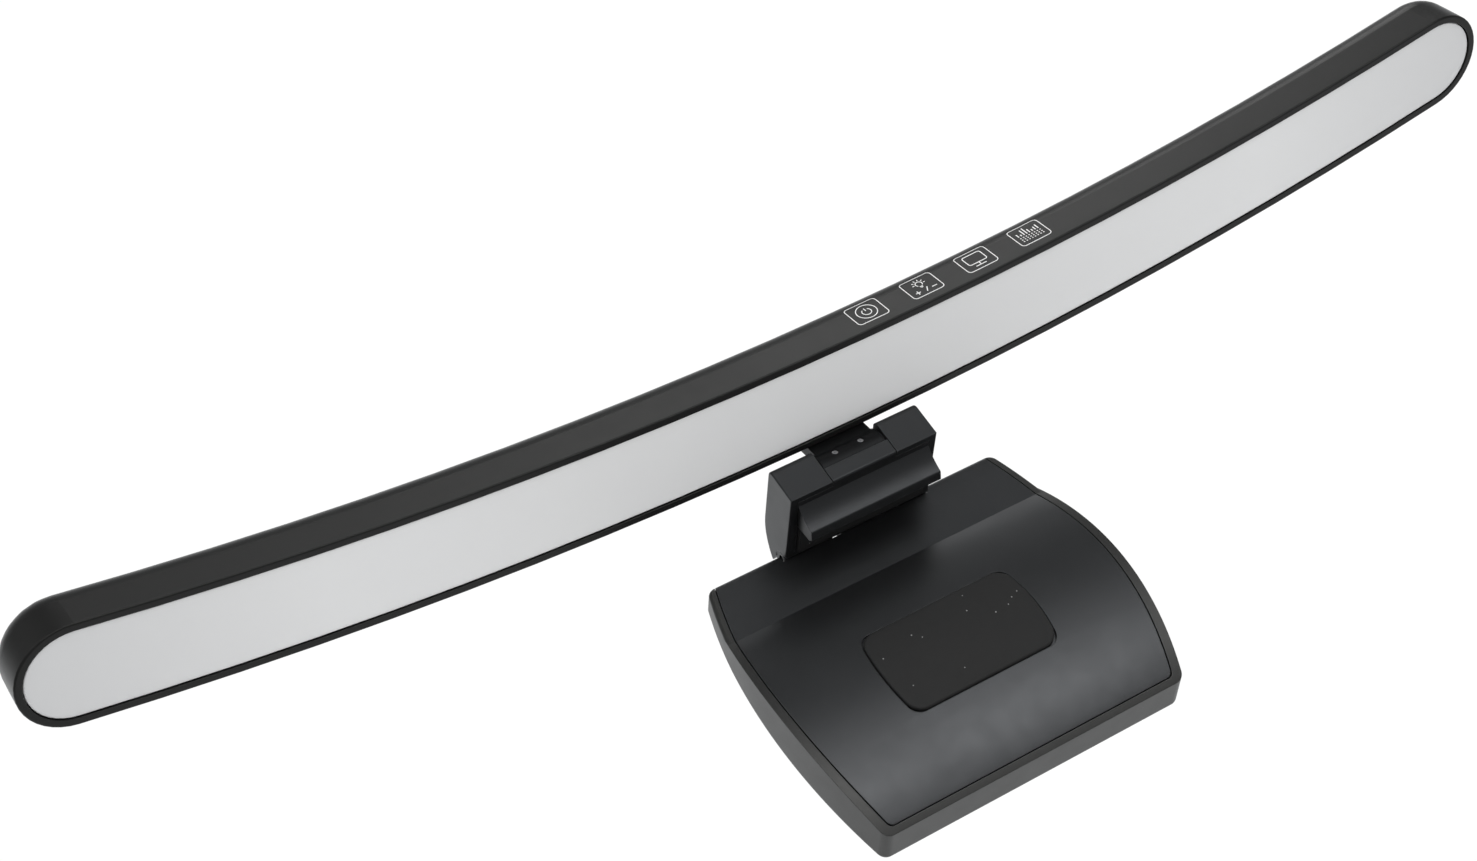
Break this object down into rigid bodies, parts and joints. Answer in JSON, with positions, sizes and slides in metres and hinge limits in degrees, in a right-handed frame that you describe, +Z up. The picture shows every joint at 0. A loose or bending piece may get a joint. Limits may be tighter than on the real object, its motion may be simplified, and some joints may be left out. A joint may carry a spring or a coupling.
{
  "type": "monitor light bar",
  "caption": "Curved lamp bar on a tilting hinge, with a hooked clamp block that sits on a monitor's top edge and a hinged counterweight plate behind it.",
  "frame": {"origin": "mid-width, where the lip pad's inner face meets the seat pad's lower face: the top front edge of the monitor", "axes": "+Z up, +X to the right of a person facing the screen, +Y away from them, towards the back of the monitor"},
  "size_m": [0.4618, 0.09, 0.1255],
  "materials": {
    "textured_black_abs": "fine spark-eroded texture, satin",
    "opal_diffuser": "frosted opal",
    "white_reflector": "matt white",
    "white_circuit_board": "white solder mask",
    "green_circuit_board": "green solder mask",
    "led_package": "phosphor gel",
    "copper_pad": "tinned copper foil",
    "plated_steel": "nickel plated",
    "bare_steel": "phosphated",
    "pin_steel": "ground",
    "screw_steel": "black zinc",
    "washer_nylon": "black nylon",
    "silicone": "soft matt silicone",
    "foam_tape": "closed-cell foam"
  },
  "bodies": {
    "clamp": {"clamp_housing": "textured_black_abs", "clamp_jaw": "textured_black_abs", "jaw_screws": "screw_steel", "lip_pad": "silicone", "tilt_pin": "pin_steel", "tilt_washers": "washer_nylon", "swing_pin": "pin_steel", "swing_washers": "washer_nylon"},
    "light_head": {"bar_housing": "textured_black_abs", "front_diffuser": "opal_diffuser", "reflector_tray": "white_reflector", "led_board": "white_circuit_board", "led_chips": "led_package", "touch_board": "green_circuit_board", "touch_electrodes": "copper_pad", "control_board": "green_circuit_board", "microphone": "plated_steel", "usb_c_socket": "plated_steel", "ambient_diffusers": "opal_diffuser", "ambient_boards": "green_circuit_board", "ambient_leds": "led_package", "tilt_arm": "textured_black_abs", "arm_screws": "screw_steel", "friction_sleeve": "plated_steel", "set_screws": "screw_steel"},
    "counterweight": {"weight_tray": "textured_black_abs", "weight_cover": "textured_black_abs", "steel_slab": "bare_steel", "slab_foam": "foam_tape", "grip_pad": "silicone", "cover_screws": "screw_steel"}
  },
  "joints": [
    {"name": "bar_tilt", "type": "hinge", "parent": "clamp", "child": "light_head", "pos_m": [0, -0.008, 0.0088], "axis": [1, 0, 0], "range_deg": [-25, 25]},
    {"name": "counterweight_swing", "type": "hinge", "parent": "clamp", "child": "counterweight", "pos_m": [0, 0.0146, 0.0036], "axis": [1, 0, 0], "range_deg": [-12, 50]}
  ]
}
